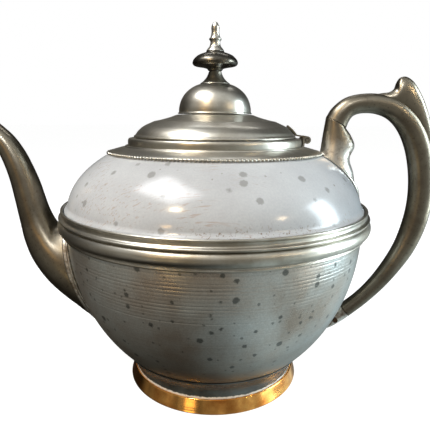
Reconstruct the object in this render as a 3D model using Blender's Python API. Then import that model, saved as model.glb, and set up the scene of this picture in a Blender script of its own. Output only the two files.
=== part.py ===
"""Teapot in enamelled sheet iron with white-metal mounts and a copper foot: one object for each real piece.

Metres, +Z up. The origin is the middle of the base on the table, the spout points to -X and the handle to +X.
Every turned piece is an outline of (radius, height) pairs in millimetres, swept once round the Z axis.
"""
import math

import bmesh
import bpy
import numpy as np
from mathutils import Vector

MM = 0.001

# Driving sizes, in millimetres.
GAP = 0.3                     # clearance left between pieces that touch
BOWL_RADIUS = 86.8            # bowl outside, at its widest
BOWL_WIDEST_Z = 97.0
BOWL_DEPTH = 99.0             # half height of the ellipse that the bowl follows
BOWL_TOP_Z = 103.0
SHEET = 1.2                   # thickness of the enamelled sheet
DOME_RADIUS = 86.0
DOME_WIDEST_Z = 108.0
DOME_RISE = 46.0              # half height of the ellipse that the dome follows
DOME_MOUTH_RADIUS = 59.5
STUD_RADIUS = 2.0
STUD_BORE = STUD_RADIUS + GAP
LID_HINGE_X = 53.4            # hinge axis, parallel to Y
LID_HINGE_Z = 148.2
KNUCKLE_RADIUS = 2.2
PIN_RADIUS = 0.9
RIVET_RADIUS = 1.5
RIVET_HEAD_RADIUS = 3.0
SPOUT_WALL = 1.4
ROUND_STEPS = 32              # facets round the large turned pieces
SMALL_STEPS = 16              # facets round the finial's pieces
TUBE_STEPS = 14               # facets round the spout and the handle

for old in list(bpy.data.objects):
    bpy.data.objects.remove(old, do_unlink=True)


# ---------------------------------------------------------------- materials

def finish(name, hex_colour, roughness, metallic):
    """A Principled material from an sRGB hex colour."""
    srgb = [int(hex_colour[i:i + 2], 16) / 255 for i in (0, 2, 4)]
    linear = [c / 12.92 if c <= 0.04045 else ((c + 0.055) / 1.055) ** 2.4 for c in srgb]
    material = bpy.data.materials.new(name)
    material.use_nodes = True
    shader = material.node_tree.nodes["Principled BSDF"]
    shader.inputs["Base Color"].default_value = (*linear, 1.0)
    shader.inputs["Roughness"].default_value = roughness
    shader.inputs["Metallic"].default_value = metallic
    material.diffuse_color = (*linear, 1.0)
    return material


PALE_ENAMEL = finish("pale_grey_enamel", "C4C4C2", 0.16, 0.0)
DARK_ENAMEL = finish("slate_grey_enamel", "7C8280", 0.34, 0.0)
WHITE_METAL = finish("white_metal", "A8A49A", 0.26, 1.0)
CAST_METAL = finish("cast_white_metal", "7E7A70", 0.3, 1.0)
COPPER = finish("copper", "C2813A", 0.22, 1.0)


# ---------------------------------------------------------------- shaping tools

def to_object(name, mesh_data, material):
    """Closes and smooths a bmesh, and puts it in the scene as one object."""
    bmesh.ops.remove_doubles(mesh_data, verts=mesh_data.verts, dist=1e-6)
    bmesh.ops.dissolve_degenerate(mesh_data, edges=mesh_data.edges, dist=1e-7)
    bmesh.ops.recalc_face_normals(mesh_data, faces=mesh_data.faces)
    mesh = bpy.data.meshes.new(name)
    mesh_data.to_mesh(mesh)
    mesh_data.free()
    mesh.shade_smooth()
    mesh.set_sharp_from_angle(angle=math.radians(35))
    obj = bpy.data.objects.new(name, mesh)
    bpy.context.scene.collection.objects.link(obj)
    if material:
        mesh.materials.append(material)
    return obj


def turned(name, outline, material, steps=ROUND_STEPS):
    """The closed outline of (radius, height) pairs, in mm, spun round the Z axis.

    A stretch of the outline that lies on the axis itself sweeps no face, so it gets no edge.
    """
    mesh_data = bmesh.new()
    corners = [mesh_data.verts.new((r * MM, 0, z * MM)) for r, z in outline]
    edges = [mesh_data.edges.new((corners[i - 1], corners[i])) for i in range(len(corners))
             if outline[i - 1][0] or outline[i][0]]
    bmesh.ops.spin(mesh_data, geom=corners + edges, cent=(0, 0, 0), axis=(0, 0, 1), dvec=(0, 0, 0),
                   angle=2 * math.pi, steps=steps, use_merge=True)
    return to_object(name, mesh_data, material)


def lofted(name, rings, material):
    """A closed skin over rings of points in mm, each ring with the same number of points."""
    mesh_data = bmesh.new()
    loops = [[mesh_data.verts.new(Vector(p) * MM) for p in ring] for ring in rings]
    for first, second in zip(loops, loops[1:]):
        for i in range(len(first)):
            mesh_data.faces.new((first[i - 1], first[i], second[i], second[i - 1]))
    mesh_data.faces.new(loops[0])
    mesh_data.faces.new(loops[-1][::-1])
    return to_object(name, mesh_data, material)


def tube(name, outer, inner, material):
    """A skin that runs out along the outer rings and back along the inner ones, open at both ends."""
    mesh_data = bmesh.new()
    loops = [[mesh_data.verts.new(Vector(p) * MM) for p in ring] for ring in list(outer) + list(inner)[::-1]]
    for first, second in zip(loops, loops[1:] + loops[:1]):
        for i in range(len(first)):
            mesh_data.faces.new((first[i - 1], first[i], second[i], second[i - 1]))
    return to_object(name, mesh_data, material)


def extruded(name, outline, half_width, material):
    """A closed outline of (x, z) pairs in mm, made solid from -half_width to half_width along Y."""
    rings = [[(x, y, z) for x, z in outline] for y in (-half_width, half_width)]
    return lofted(name, rings, material)


def rod(name, start, end, radius, material, steps=20):
    """A cylinder between two points in mm."""
    start, end = Vector(start), Vector(end)
    along = (end - start).normalized()
    side = along.orthogonal().normalized()
    other = along.cross(side)
    angles = [2 * math.pi * i / steps for i in range(steps)]
    circle = [radius * (math.cos(a) * side + math.sin(a) * other) for a in angles]
    return lofted(name, [[start + c for c in circle], [end + c for c in circle]], material)


def cutter(obj):
    obj.hide_render = True
    obj.display_type = "WIRE"
    return obj


def combine(obj, other, operation="DIFFERENCE", solver="EXACT"):
    """Adds a Boolean and hides the other object, which only shapes this one."""
    modifier = obj.modifiers.new(operation.lower() + "_" + other.name, "BOOLEAN")
    modifier.operation = operation
    modifier.solver = solver
    modifier.object = cutter(other)
    return obj


def smooth_through(stations, per_span):
    """Catmull-Rom curve through the rows of stations, with per_span steps between neighbours."""
    rows = np.array(stations, float)
    rows = np.vstack([2 * rows[0] - rows[1], rows, 2 * rows[-1] - rows[-2]])
    out = []
    for a, b, c, d in zip(rows, rows[1:], rows[2:], rows[3:]):
        for t in np.arange(per_span) / per_span:
            out.append(0.5 * (2 * b + (c - a) * t + (2 * a - 5 * b + 4 * c - d) * t ** 2
                              + (3 * b - a - 3 * c + d) * t ** 3))
    out.append(rows[-2])
    return np.array(out)


def oval_rings(stations, per_span, grow=0.0, steps=TUBE_STEPS):
    """Oval rings from rows of (x, z) of one edge, (x, z) of the opposite edge and half width along Y."""
    rings = []
    for ax, az, bx, bz, half_y in smooth_through(stations, per_span):
        middle = np.array([(ax + bx) / 2, 0, (az + bz) / 2])
        half = np.array([ax - bx, 0, az - bz]) / 2
        half *= 1 + grow / np.linalg.norm(half)
        angles = 2 * np.pi * np.arange(steps) / steps
        side = np.array([0, half_y + grow, 0])
        rings.append(middle + np.cos(angles)[:, None] * half + np.sin(angles)[:, None] * side)
    return rings


def across(path):
    """Rows of (x, z, half width, half thickness along Y) turned into rows for oval_rings, square to the path."""
    path = np.array(path, float)
    heading = np.gradient(path[:, :2], axis=0)
    heading /= np.linalg.norm(heading, axis=1)[:, None]
    normal = np.stack([-heading[:, 1], heading[:, 0]], axis=1) * path[:, 2:3]
    return np.hstack([path[:, :2] + normal, path[:, :2] - normal, path[:, 3:4]])


def grown(outline, distance):
    """An open outline moved outwards, to the right of its direction of travel, by the distance."""
    points = np.array(outline, float)
    heading = np.gradient(points, axis=0)
    heading /= np.linalg.norm(heading, axis=1)[:, None]
    return [tuple(p) for p in points + distance * np.stack([heading[:, 1], -heading[:, 0]], axis=1)]


# ---------------------------------------------------------------- the body's shells

def bowl_radius(z):
    """Outside radius of the bowl at height z: an ellipse, then straight above its widest height."""
    return BOWL_RADIUS * math.sqrt(1 - (max(BOWL_WIDEST_Z - z, 0) / BOWL_DEPTH) ** 2)


def dome_height(r):
    """Height of the dome's outside at radius r: the upper quarter of an ellipse."""
    return DOME_WIDEST_Z + DOME_RISE * math.sqrt(1 - (r / DOME_RADIUS) ** 2)


BOWL_FLOOR = [(0, 15.0), (42.0, 15.4), (49.5, 17.0)]
BOWL_HEIGHTS = (20, 25, 33, 43, 55, 70, BOWL_WIDEST_Z - 10, BOWL_TOP_Z)
bowl_outside = BOWL_FLOOR + [(bowl_radius(z), z) for z in BOWL_HEIGHTS]
bowl_inside = [(0, 15.0 + SHEET)] + grown(bowl_outside[1:-1], -SHEET) + [(BOWL_RADIUS - SHEET, BOWL_TOP_Z)]
lower_bowl = turned("lower_bowl", bowl_outside + bowl_inside[::-1], DARK_ENAMEL)

DOME_RADII = (84.2, 81.5, 77.2, 71.5, 65.5, DOME_MOUTH_RADIUS)
DOME_LIP = [(87.6, 103.6), (87.6, 109.7), (87.0, 111.0), (85.9, 112.9)]
dome_outside = DOME_LIP + [(r, dome_height(r)) for r in DOME_RADII]
upper_dome = turned("upper_dome", dome_outside + grown(dome_outside, -SHEET)[::-1], PALE_ENAMEL)

# The band is spun over the joint of the two shells: fillet, hollow, bead, half-round and a lower bead.
BAND_OUTSIDE = [
    (87.2, 95.6), (87.9, 95.8), (88.6, 96.4), (88.4, 97.2), (88.6, 97.8), (90.3, 98.8), (91.3, 100.4),
    (91.5, 102.2), (91.0, 104.2), (90.3, 105.4), (90.6, 106.2), (90.1, 106.9), (88.9, 107.6),
    (88.9, 109.1), (89.5, 109.7), (89.4, 110.6), (88.6, 111.0),
]
waist_band = turned("waist_band", BAND_OUTSIDE + [(88.0, 110.4), (88.0, 99.8), (87.2, 98.4)], WHITE_METAL)

# The collar closes the dome and carries the mouth; its lower edge is the beaded one.
COLLAR_SKIRT = [(62.2, 140.2), (62.5, 140.7), (62.2, 141.2), (61.4, 141.6), (59.3, 142.3), (55.0, 143.5),
                (50.9, 144.2)]
collar = turned("collar", COLLAR_SKIRT + [
    (45.0, 144.2), (45.0, 143.3), (50.5, 143.3), (54.8, 142.7), (59.0, 141.8), (60.4, 141.3), (61.6, 140.5),
], WHITE_METAL)
mouth_ring = turned("mouth_ring", [
    (50.6, 144.5), (50.6, 147.2), (50.1, 148.3), (48.9, 148.9), (45.0, 148.9), (45.0, 144.5),
    (45.9, 144.5), (45.9, 148.0), (48.6, 148.0), (49.4, 147.6), (49.7, 146.9), (49.7, 144.5),
], WHITE_METAL)

# The foot is a short spool that reaches down into the copper base, a dish with a flared wall.
foot_shell = turned("foot_shell", [
    (49.9, 1.6), (50.2, 9.5), (51.2, 13.0), (53.0, 16.6), (56.0, 20.2), (58.0, 22.9),
    (56.6, 21.6), (54.7, 19.4), (51.9, 16.2), (50.1, 12.6), (49.1, 9.3), (48.7, 1.6),
], DARK_ENAMEL)
copper_base = turned("copper_base", [
    (0, 0), (52.9, 0), (53.4, 0.5), (52.3, 4.2), (51.3, 8.2), (50.3, 8.2), (50.9, 4.0), (50.7, 1.2), (0, 1.2),
], COPPER)

# What the mounts are fitted to: the outside of the assembled body, and the same without its mouldings.
body_outside = bowl_outside[:-1] + BAND_OUTSIDE + dome_outside[2:-1] + COLLAR_SKIRT
plain_outside = bowl_outside[:-1] + [(90.0, 101.0)] + dome_outside[4:-1] + [(62.0, 141.3), (50.9, 144.4)]


def body_cutter(name, outside, distance):
    """The body as one solid, grown by the distance."""
    skin = [(0, 12.0)] + grown(outside[1:], distance) + [(0, outside[-1][1])]
    return turned(name, skin, None)


# ---------------------------------------------------------------- spout

SPOUT_STATIONS = [
    # upper edge x, z; lower edge x, z; half width along Y
    (-74.0, 92.0, -52.0, 38.0, 17.0),
    (-89.0, 93.0, -71.0, 33.5, 18.5),
    (-96.8, 94.6, -86.0, 43.5, 17.8),
    (-99.8, 98.8, -101.5, 57.0, 15.6),
    (-101.4, 103.2, -111.6, 71.0, 13.2),
    (-102.8, 108.0, -116.6, 84.0, 11.4),
    (-104.2, 113.8, -119.0, 97.6, 10.0),
    (-106.2, 121.8, -121.2, 112.0, 9.0),
    (-109.4, 130.8, -123.2, 123.8, 8.2),
    (-113.6, 140.4, -126.2, 134.4, 7.5),
    (-119.4, 149.2, -130.0, 143.2, 7.0),
    (-127.0, 156.4, -135.4, 150.0, 6.7),
    (-133.4, 161.6, -141.4, 154.0, 6.9),
]
SPOUT_SPANS = 2
SPOUT_FLANGE_HEIGHT = 5.5
SPOUT_FLANGE_WIDTH = 2.6
spout = tube("spout", oval_rings(SPOUT_STATIONS, SPOUT_SPANS),
             oval_rings(SPOUT_STATIONS, SPOUT_SPANS, grow=-SPOUT_WALL), CAST_METAL)
combine(spout, body_cutter("spout_seat", body_outside, GAP))

flange_stations = SPOUT_STATIONS[:4]
spout_flange = tube("spout_flange", oval_rings(flange_stations, SPOUT_SPANS, grow=GAP + SPOUT_FLANGE_WIDTH),
                    oval_rings(flange_stations, SPOUT_SPANS, grow=GAP), CAST_METAL)
combine(spout_flange, body_cutter("spout_flange_seat", body_outside, GAP))
combine(spout_flange, body_cutter("spout_flange_reach", plain_outside, GAP + SPOUT_FLANGE_HEIGHT), "INTERSECT")

# Strainer: a hexagonal cluster of holes in the bowl wall, inside the spout's mouth.
STRAINER_HOLE_RADIUS = 2.0
STRAINER_PITCH = 8.0
STRAINER_Z = 66.0
for ring_no, count in enumerate((1, 6)):
    for i in range(count):
        angle = 2 * math.pi * i / count + math.pi / 6
        y = ring_no * STRAINER_PITCH * math.cos(angle)
        z = STRAINER_Z + ring_no * STRAINER_PITCH * math.sin(angle)
        hole = rod(f"strainer_hole_{ring_no}_{i}", (-90, y, z), (-70, y, z), STRAINER_HOLE_RADIUS, None, 10)
        combine(lower_bowl, hole)


# ---------------------------------------------------------------- handle and its mounts

HANDLE_PATH = [
    # x, z, half width, half thickness along Y
    (71.2, 158.2, 6.6, 6.2),
    (73.6, 162.8, 6.2, 6.0),
    (78.2, 167.0, 5.7, 5.9),
    (85.2, 168.9, 5.5, 5.9),
    (94.6, 168.7, 5.7, 6.1),
    (104.2, 165.6, 6.2, 6.4),
    (112.4, 158.6, 6.6, 6.7),
    (118.6, 148.8, 7.0, 6.9),
    (122.6, 137.4, 7.1, 7.0),
    (125.0, 124.0, 7.1, 7.0),
    (125.3, 110.0, 7.0, 6.9),
    (123.2, 96.0, 6.8, 6.7),
    (118.6, 82.0, 6.2, 6.3),
    (111.8, 69.6, 5.5, 5.8),
    (103.6, 58.0, 4.9, 5.3),
    (94.4, 48.0, 4.5, 5.0),
    (84.6, 39.6, 4.5, 5.0),
]
HANDLE_SPANS = 2
handle_rows = across(HANDLE_PATH)
handle = lofted("handle", oval_rings(handle_rows, HANDLE_SPANS), CAST_METAL)

# The upper socket stands on the dome; its lobe kicks out towards the finger gap.
SOCKET_ROWS = [
    (61.0, 126.0, 84.0, 118.0, 11.0),
    (61.4, 134.0, 83.4, 128.0, 10.4),
    (63.0, 141.5, 80.4, 137.0, 8.8),
    (63.6, 147.6, 82.6, 144.4, 8.0),
    (64.2, 153.0, 80.6, 150.4, 7.2),
    (65.2, 160.9, 76.9, 154.9, 6.2),
]
handle_socket = lofted("handle_socket", oval_rings(SOCKET_ROWS, HANDLE_SPANS), WHITE_METAL)
combine(handle_socket, body_cutter("socket_seat", body_outside, GAP))
SOCKET_CENTRE = (70.4, 134.6)
SOCKET_NORMAL = np.array([0.60, 0.80])
SOCKET_ALONG = np.array([0.80, -0.60])
SOCKET_PLATE_HALF = 16.0
SOCKET_PLATE_HALF_WIDTH = 13.0
SOCKET_PLATE_THICKNESS = 1.6


def plate_rows(centre, normal, along, half_length, half_width, depth):
    """Two rows for oval_rings, below and above a plate's middle, square to its normal."""
    rows = []
    for reach in (-depth, depth):
        middle = np.array(centre) + reach * normal
        rows.append([*(middle - half_length * along), *(middle + half_length * along), half_width])
    return rows


socket_plate = lofted("socket_plate", oval_rings(plate_rows(
    SOCKET_CENTRE, SOCKET_NORMAL, SOCKET_ALONG, SOCKET_PLATE_HALF, SOCKET_PLATE_HALF_WIDTH, 9.0), 1, steps=32),
    WHITE_METAL)
combine(socket_plate, body_cutter("socket_plate_seat", body_outside, GAP))
combine(socket_plate, body_cutter("socket_plate_reach", plain_outside, GAP + SOCKET_PLATE_THICKNESS), "INTERSECT")
combine(socket_plate, lofted("socket_foot_cutter", oval_rings(SOCKET_ROWS, HANDLE_SPANS, grow=GAP), None))

# The thumb rest is a leaf along the handle's back that ends in an upturned scroll.
THUMB_REST_OUTLINE = [
    (94.0, 174.9), (99.9, 175.2), (103.1, 176.8), (104.9, 179.4), (105.0, 182.2), (106.6, 183.9), (109.2, 184.2),
    (113.5, 182.3), (116.4, 179.0), (119.9, 173.9), (122.9, 168.3), (125.4, 162.4), (127.6, 155.6), (129.4, 148.0),
    (130.6, 139.4), (126.0, 139.0), (120.0, 154.0), (110.0, 166.0), (100.0, 171.0),
]
thumb_rest = extruded("thumb_rest", THUMB_REST_OUTLINE, 5.0, CAST_METAL)
combine(thumb_rest, lofted("thumb_rest_seat", oval_rings(handle_rows, HANDLE_SPANS, grow=GAP), None))

# The lower lug is a stub on a leaf-shaped foot that lies on the bowl.
LUG_ROWS = [
    (55.0, 36.0, 59.0, 27.0, 8.0),
    (63.0, 36.6, 67.4, 26.6, 7.6),
    (70.6, 36.8, 75.2, 28.2, 6.2),
    (77.2, 39.4, 82.4, 32.4, 5.4),
    (81.4, 42.8, 87.2, 35.9, 5.0),
]
handle_lug = lofted("handle_lug", oval_rings(LUG_ROWS, HANDLE_SPANS), CAST_METAL)
combine(handle_lug, body_cutter("lug_seat", body_outside, GAP))

# Joint pin through the lug, seen as a round copper head on each side.
LUG_PIN_AT = (77.6, 35.2)
LUG_PIN_RADIUS = 1.6
lug_pin_half = 6.9
combine(handle_lug, rod("lug_pin_bore", (LUG_PIN_AT[0], -9, LUG_PIN_AT[1]), (LUG_PIN_AT[0], 9, LUG_PIN_AT[1]),
                        LUG_PIN_RADIUS + GAP, None))
lug_pin = rod("lug_pin", (LUG_PIN_AT[0], -lug_pin_half, LUG_PIN_AT[1]),
              (LUG_PIN_AT[0], lug_pin_half, LUG_PIN_AT[1]), LUG_PIN_RADIUS, COPPER)


def wall_rivet(name, radius, z, normal, azimuth, shell, mounts):
    """A rivet with its head inside the body, through the shell and into the mounts that it holds."""
    turn = math.radians(azimuth)
    out = Vector((normal[0] * math.cos(turn), normal[0] * math.sin(turn), normal[1])).normalized()
    skin = Vector((radius * math.cos(turn), radius * math.sin(turn), z))
    head_top = skin - (SHEET + 3 * GAP) * out       # the shell's flat facets lie a little inside its curve
    shank = rod(name, head_top - 0.6 * out, skin + 4.5 * out, RIVET_RADIUS, COPPER, 16)
    head = rod(name + "_head", head_top - 1.4 * out, head_top, RIVET_HEAD_RADIUS, None, 16)
    combine(shank, head, "UNION")
    bore = rod(name + "_bore", skin - 4 * out, skin + 5.2 * out, RIVET_RADIUS + GAP, None, 16)
    for piece in (shell, *mounts):
        combine(piece, bore, solver="MANIFOLD")     # the exact solver turns the upper socket inside out


LUG_RIVET_Z = 31.0
lug_normal = (bowl_radius(LUG_RIVET_Z) / BOWL_RADIUS ** 2, (LUG_RIVET_Z - BOWL_WIDEST_Z) / BOWL_DEPTH ** 2)
for side, azimuth in (("near", -2.9), ("far", 2.9)):
    wall_rivet(f"lug_rivet_{side}", bowl_radius(LUG_RIVET_Z), LUG_RIVET_Z, lug_normal, azimuth, lower_bowl,
               (handle_lug,))
for side, azimuth in (("near", -4.0), ("far", 4.0)):
    wall_rivet(f"socket_rivet_{side}", SOCKET_CENTRE[0], dome_height(SOCKET_CENTRE[0]), SOCKET_NORMAL, azimuth,
               upper_dome, (handle_socket,))


# ---------------------------------------------------------------- lid: empty on the hinge axis as its parent

lid_turn = bpy.data.objects.new("lid_hinge_axis", None)
bpy.context.scene.collection.objects.link(lid_turn)
lid_turn.location = (LID_HINGE_X * MM, 0, LID_HINGE_Z * MM)


def on_lid(obj):
    """Hangs a piece from the hinge empty and keeps its place."""
    obj.parent = lid_turn
    obj.location = obj.location - lid_turn.location
    return obj


LID_OUTSIDE = [(46.6, 149.2), (47.1, 149.6), (46.9, 150.3), (46.0, 150.9), (44.2, 153.1), (40.4, 156.2),
               (33.5, 159.0), (23.0, 161.7), (3.2, 162.6)]
LID_INSIDE = [(3.2, 161.6), (22.8, 160.7), (33.1, 158.0), (39.8, 155.4), (43.4, 152.4), (45.2, 149.2)]
on_lid(turned("lid_cover", LID_OUTSIDE + LID_INSIDE, WHITE_METAL))
on_lid(turned("lid_sleeve", [(43.7, 140.6), (43.7, 150.2), (42.8, 150.8), (42.8, 140.6)], WHITE_METAL))
CROWN_OUTSIDE = [(20.9, 162.5), (20.7, 165.4), (19.6, 169.6), (17.2, 173.5), (13.8, 176.6), (9.4, 178.9),
                 (3.2, 179.6)]
CROWN_INSIDE = [(3.2, 178.7), (9.1, 178.0), (13.3, 175.7), (16.4, 172.9), (18.6, 169.3), (19.8, 162.5)]
on_lid(turned("lid_crown", CROWN_OUTSIDE + CROWN_INSIDE, WHITE_METAL, 24))
on_lid(turned("finial_skirt", [
    (STUD_BORE, 179.95), (7.9, 179.5), (7.7, 180.2), (6.5, 181.8), (4.7, 183.8), (3.6, 185.1), (3.3, 186.0),
    (STUD_BORE, 186.0)], WHITE_METAL, SMALL_STEPS))
on_lid(turned("finial_knob", [
    (STUD_BORE, 186.3), (3.4, 186.3), (4.4, 187.3), (6.5, 188.2), (9.5, 188.9), (12.0, 189.7), (12.8, 190.5),
    (12.7, 191.4), (11.9, 193.2), (10.0, 194.8), (7.6, 195.8), (5.2, 196.4), (STUD_BORE, 196.6)],
    CAST_METAL, SMALL_STEPS))
on_lid(turned("finial_spire", [
    (STUD_BORE, 196.9), (5.1, 196.9), (4.3, 198.0), (3.2, 199.2), (2.6, 200.6), (2.7, 202.2), (3.3, 203.0),
    (3.3, 203.6), (2.5, 204.2), (2.1, 206.8), (2.1, 209.2), (1.9, 211.0), (1.3, 212.0), (0, 212.3), (0, 198.3),
    (STUD_BORE, 198.3)], WHITE_METAL, 20))
on_lid(rod("finial_stud", (0, 0, 157.2), (0, 0, 198.0), STUD_RADIUS, WHITE_METAL))
on_lid(turned("finial_washer", [(STUD_BORE, 160.4), (6.5, 160.4), (6.5, 161.2), (STUD_BORE, 161.2)],
              WHITE_METAL, SMALL_STEPS))
on_lid(turned("finial_nut", [(STUD_BORE, 157.8), (4.0, 157.8), (4.0, 160.1), (STUD_BORE, 160.1)], WHITE_METAL, 6))


# ---------------------------------------------------------------- lid hinge

LEAF_HALF_WIDTH = 7.0
CENTRE_KNUCKLE_HALF = 2.4
LEAF_BACK_X = 51.0
LEAF_THICKNESS = 1.0
axis_x, axis_z = LID_HINGE_X, LID_HINGE_Z


def knuckle(name, y0, y1, material=None):
    return rod(name, (axis_x, y0, axis_z), (axis_x, y1, axis_z), KNUCKLE_RADIUS, material, 16)


def bored(obj):
    bore = rod(obj.name + "_bore", (axis_x, -10, axis_z), (axis_x, 10, axis_z), PIN_RADIUS + GAP, None, 12)
    return combine(obj, bore)


leaf_front_x = LEAF_BACK_X + LEAF_THICKNESS
leaf_plate = [(LEAF_BACK_X, 144.6), (leaf_front_x, 144.6), (leaf_front_x, 149.0), (LEAF_BACK_X, 149.0)]
hinge_leaf = extruded("hinge_leaf", leaf_plate, LEAF_HALF_WIDTH, WHITE_METAL)
notch = [(LEAF_BACK_X - 1, 145.7), (leaf_front_x + 1, 145.7), (leaf_front_x + 1, 151), (LEAF_BACK_X - 1, 151)]
combine(hinge_leaf, extruded("leaf_notch", notch, CENTRE_KNUCKLE_HALF + GAP, None))
for sign, side in ((-1, "near"), (1, "far")):
    ends = sorted((sign * (CENTRE_KNUCKLE_HALF + GAP), sign * LEAF_HALF_WIDTH))
    combine(hinge_leaf, knuckle(f"leaf_knuckle_{side}", *ends), "UNION")
bored(hinge_leaf)

STRAP_OUTLINE = [(42.3, 155.5), (45.0, 153.3), (46.7, 151.3), (47.6, 150.3), (50.5, 149.8), (53.4, 149.4),
                 (53.4, 150.3), (50.6, 150.75), (48.2, 151.1), (47.4, 152.1), (45.6, 154.2), (42.8, 156.4)]
lid_strap = extruded("lid_strap", STRAP_OUTLINE, CENTRE_KNUCKLE_HALF, WHITE_METAL)
combine(lid_strap, knuckle("strap_knuckle", -CENTRE_KNUCKLE_HALF, CENTRE_KNUCKLE_HALF), "UNION")
bored(lid_strap)
on_lid(lid_strap)
hinge_pin = rod("hinge_pin", (axis_x, -7.4, axis_z), (axis_x, 7.4, axis_z), PIN_RADIUS, WHITE_METAL, 12)
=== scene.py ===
"""Looks of a metal-mounted enamelled teapot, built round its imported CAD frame. Z is up, the handle at +X."""

import math

import bmesh
import bpy
import numpy as np
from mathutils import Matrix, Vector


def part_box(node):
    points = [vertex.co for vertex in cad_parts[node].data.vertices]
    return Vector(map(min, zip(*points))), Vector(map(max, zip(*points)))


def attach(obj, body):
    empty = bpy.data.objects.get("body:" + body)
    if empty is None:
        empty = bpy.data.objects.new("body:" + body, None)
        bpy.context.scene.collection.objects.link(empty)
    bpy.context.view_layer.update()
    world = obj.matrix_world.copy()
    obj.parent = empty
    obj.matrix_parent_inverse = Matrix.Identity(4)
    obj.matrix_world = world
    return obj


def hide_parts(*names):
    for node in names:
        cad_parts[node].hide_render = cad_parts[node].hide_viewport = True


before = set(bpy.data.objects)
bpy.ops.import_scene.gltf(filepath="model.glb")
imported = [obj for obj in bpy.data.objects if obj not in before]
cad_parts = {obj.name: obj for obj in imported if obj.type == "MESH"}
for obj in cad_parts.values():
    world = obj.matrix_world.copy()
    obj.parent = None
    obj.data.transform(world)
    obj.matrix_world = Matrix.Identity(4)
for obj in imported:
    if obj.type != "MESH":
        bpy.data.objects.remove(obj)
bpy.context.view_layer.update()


# ---------------------------------------- stage
# A pale table top in soft studio light: a broad lamp overhead to the left, and a tall cool one to the right
# like a window. Small warm lamps glint in the enamel and the copper. The lens is close, just above the lid.

MM = 0.001  # metres in a millimetre
EASED_RAMP = {"interpolation_type": "SMOOTHSTEP"}


def linear(hex_colour):
    """sRGB hex to linear RGBA: c / 12.92 up to 0.04045, and ((c + 0.055) / 1.055) to the power 2.4 above."""
    srgb = np.array([int(hex_colour[i:i + 2], 16) for i in (0, 2, 4)]) / 255
    return (*np.where(srgb <= 0.04045, srgb / 12.92, ((srgb + 0.055) / 1.055) ** 2.4), 1.0)


def add(tree, kind, inputs, **settings):
    """Adds one shader node with its settings; each input takes a value or another node's output."""
    node = tree.nodes.new("ShaderNode" + kind)
    for key, value in settings.items():
        setattr(node, key, value)
    for key, value in inputs.items():
        if isinstance(value, bpy.types.NodeSocket):
            tree.links.new(value, node.inputs[key])
        else:
            node.inputs[key].default_value = value
    return node.outputs


def lamp(name, place, aim, size, colour, power, mirrored=True):
    """An area lamp of (width, height) in metres at a place, turned to the point it lights. The lens doesn't
    see it, and polished surfaces don't mirror it where mirrored is false."""
    light = bpy.data.lights.new(name, "AREA")
    light.shape = "RECTANGLE"
    light.size, light.size_y = size
    light.color = linear(colour)[:3]
    light.energy = power
    obj = bpy.data.objects.new(name, light)
    obj.location = place
    obj.rotation_euler = (Vector(aim) - Vector(place)).to_track_quat("-Z", "Y").to_euler()
    obj.visible_camera = False
    obj.visible_glossy = mirrored
    bpy.context.scene.collection.objects.link(obj)


lamp("overhead_lamp", (-0.32, -0.14, 0.80), (0, 0, 0.10), (0.24, 0.10), "FFFEFC", 3.0)
lamp("overhead_glow", (-0.34, -0.16, 0.84), (0, 0, 0.10), (0.52, 0.34), "FBFCFF", 4.0)
lamp("window_lamp", (0.95, -0.04, 0.26), (0, 0, 0.10), (0.30, 0.78), "DFEFF8", 12.5)
lamp("back_lamp", (0.06, 0.56, 1.00), (0, 0, 0.14), (0.70, 0.10), "F8F8F8", 1.0)
lamp("left_lamp", (-0.95, -0.35, 0.30), (0, 0, 0.08), (0.70, 0.80), "FFF6EE", 4.5, mirrored=False)
lamp("front_lamp", (0.10, -1.00, 0.60), (0, 0, 0.08), (0.60, 0.40), "FFF8F0", 2.0, mirrored=False)
lamp("warm_lamp_left", (-0.27, -0.43, 0.57), (0, 0, 0.10), (0.035, 0.035), "FFE2B8", 1.2)
lamp("lamp_shade", (0.04, -0.61, 0.61), (-0.10, 0, 0.10), (0.08, 0.08), "FAFBFF", 1.5)
lamp("candle", (-0.39, -0.625, 0.293), (-0.10, 0, 0.10), (0.05, 0.05), "FFC878", 0.22)
lamp("table_glow_left", (-0.37, -0.70, -0.12), (0, 0, 0.01), (0.16, 0.12), "FFDC98", 0.12)
lamp("table_glow_right", (0.75, -0.24, -0.12), (0, 0, 0.01), (0.26, 0.14), "FFF8EE", 0.20)
lamp("warm_lamp_right", (0.46, -0.40, 0.38), (0, 0, 0.10), (0.030, 0.030), "FFE2B8", 0.3)

world = bpy.data.worlds.new("studio")
world.use_nodes = True
bpy.context.scene.world = world
air = world.node_tree
air.nodes.clear()
direction = add(air, "TexCoord", {})["Generated"]
ray = add(air, "SeparateXYZ", {0: direction})

# The room is grey, paler overhead and dark behind and below. Daylight lies along the floor at the right.
slanted = add(air, "Math", {0: ray["Z"], 1: -0.6, 2: ray["X"]}, operation="MULTIPLY_ADD")[0]
upward, downward, behind, low_right, below_lamp = (
    add(air, "MapRange", {"Value": along, "From Min": start, "From Max": end}, **EASED_RAMP)["Result"]
    for along, start, end in ((ray["Z"], 0.10, 0.90), (ray["Z"], -0.30, -0.92), (ray["Y"], -0.35, 0.35),
                              (slanted, 0.40, 1.12), (ray["Z"], 0.35, 0.05)))
behind = add(air, "Math", {0: behind, 1: 0.96}, operation="MULTIPLY")[0]
low_right = add(air, "Math", {0: low_right, 1: below_lamp}, operation="MULTIPLY")[0]
room = add(air, "MixRGB", {"Fac": upward, "Color1": linear("86837C"), "Color2": linear("D8DADA")})["Color"]
room = add(air, "MixRGB", {"Fac": behind, "Color1": room, "Color2": linear("26231E")})["Color"]
room = add(air, "MixRGB", {"Fac": downward, "Color1": room, "Color2": linear("14100B")})["Color"]
room = add(air, "MixRGB", {"Fac": low_right, "Color1": room, "Color2": linear("CBDADD")})["Color"]
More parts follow.
